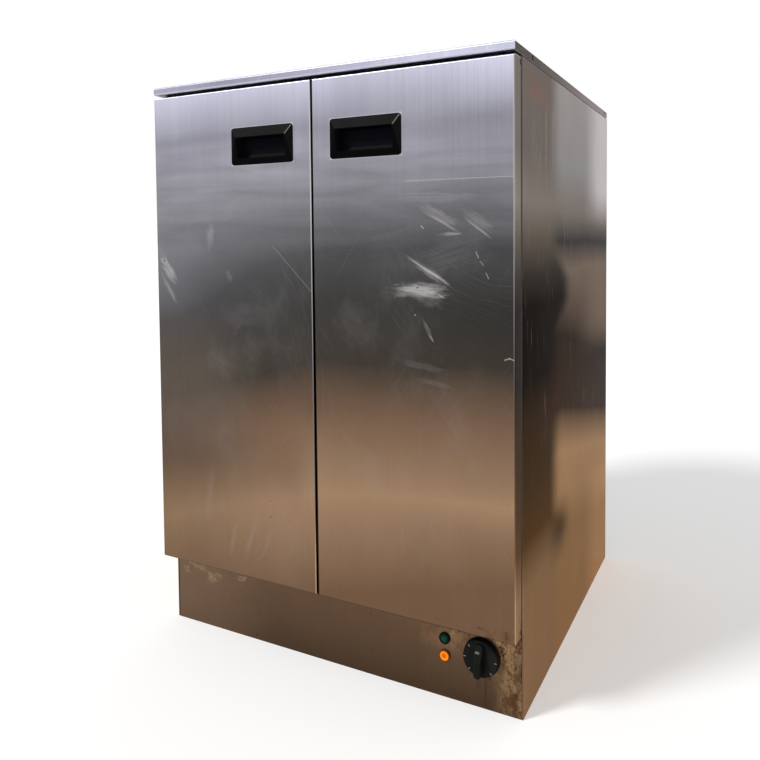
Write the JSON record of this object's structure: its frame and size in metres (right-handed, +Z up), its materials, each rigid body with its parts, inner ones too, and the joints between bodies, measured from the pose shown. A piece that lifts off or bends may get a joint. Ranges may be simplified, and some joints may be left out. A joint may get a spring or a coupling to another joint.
{
  "type": "plate warmer cabinet",
  "caption": "Floor-standing heated cupboard for plates: insulated sheet-metal case, hinged doors with recessed pulls, slotted shelves, dial control and lamps in the plinth.",
  "frame": {"origin": "on the floor, under the middle of the body without its doors", "axes": "+Z up, the doors face -Y, +X to the right of someone in front of the doors"},
  "size_m": [0.625, 0.5805, 0.9],
  "materials": {
    "door_steel": "vertically brushed stainless, swirled by cleaning",
    "case_steel": "vertically brushed stainless, brighter than the doors",
    "lid_steel": "brushed stainless",
    "plinth_steel": "brushed stainless with dried splashes",
    "inner_steel": "satin stainless",
    "hinge_steel": "satin stainless",
    "plated_steel": "bright zinc plate",
    "shelf_steel": "satin stainless",
    "element_sheath": "heat-tinted sheath",
    "brass_nut": "turned brass",
    "copper_tube": "drawn copper",
    "mineral_wool": "loose-fibred board",
    "handle_plastic": "satin moulded black",
    "knob_plastic": "satin moulded black",
    "lamp_plastic": "moulded black",
    "green_lens": "translucent green",
    "amber_lens": "translucent amber, lit",
    "gland_plastic": "moulded black",
    "magnet_case": "moulded white",
    "thermostat_case": "moulded cream",
    "terminal_ceramic": "glazed white"
  },
  "bodies": {
    "cabinet": {"amber_lamp_lens": "amber_lens", "back_panel": "case_steel", "base_tray": "inner_steel", "cable_gland": "gland_plastic", "deck": "inner_steel", "element_brackets": "inner_steel", "element_glands": "brass_nut", "element_guard": "inner_steel", "green_lamp_lens": "green_lens", "heating_element": "element_sheath", "hinge_leaf_body_left": "hinge_steel", "hinge_leaf_body_right": "hinge_steel", "hinge_pin_left": "hinge_steel", "hinge_pin_right": "hinge_steel", "insulation_back": "mineral_wool", "insulation_floor": "mineral_wool", "insulation_left": "mineral_wool", "insulation_right": "mineral_wool", "insulation_top": "mineral_wool", "lamp_holders": "lamp_plastic", "lid": "lid_steel", "lid_stiffeners": "inner_steel", "liner_back": "inner_steel", "liner_ceiling": "inner_steel", "liner_left": "inner_steel", "liner_right": "inner_steel", "magnet_catches": "magnet_case", "phial_clips": "plated_steel", "pilasters_left": "inner_steel", "pilasters_right": "inner_steel", "plinth_fascia": "plinth_steel", "shelf_lower": "shelf_steel", "shelf_runners_left": "inner_steel", "shelf_runners_right": "inner_steel", "shelf_upper": "shelf_steel", "side_panel_left": "case_steel", "side_panel_right": "case_steel", "terminal_block": "terminal_ceramic", "thermostat": "thermostat_case", "thermostat_capillary": "copper_tube", "top_rail": "inner_steel"},
    "left_door": {"door_skin_left": "door_steel", "door_lining_left": "inner_steel", "door_insulation_left": "mineral_wool", "door_handle_left": "handle_plastic", "hinge_leaf_door_left": "hinge_steel", "strike_plate_left": "plated_steel"},
    "right_door": {"door_skin_right": "door_steel", "door_lining_right": "inner_steel", "door_insulation_right": "mineral_wool", "door_handle_right": "handle_plastic", "hinge_leaf_door_right": "hinge_steel", "strike_plate_right": "plated_steel"},
    "knob": {"knob": "knob_plastic", "thermostat_shaft": "plated_steel"}
  },
  "joints": [
    {"name": "left_door_hinge", "type": "hinge", "parent": "cabinet", "child": "left_door", "pos_m": [-0.3095, -0.268, 0.501], "axis": [0, 0, -1], "range_deg": [0, 105]},
    {"name": "right_door_hinge", "type": "hinge", "parent": "cabinet", "child": "right_door", "pos_m": [0.3095, -0.268, 0.501], "axis": [0, 0, 1], "range_deg": [0, 105]},
    {"name": "knob_turn", "type": "hinge", "parent": "cabinet", "child": "knob", "pos_m": [0.253, -0.265, 0.073], "axis": [0, 1, 0], "range_deg": [0, 270]}
  ]
}
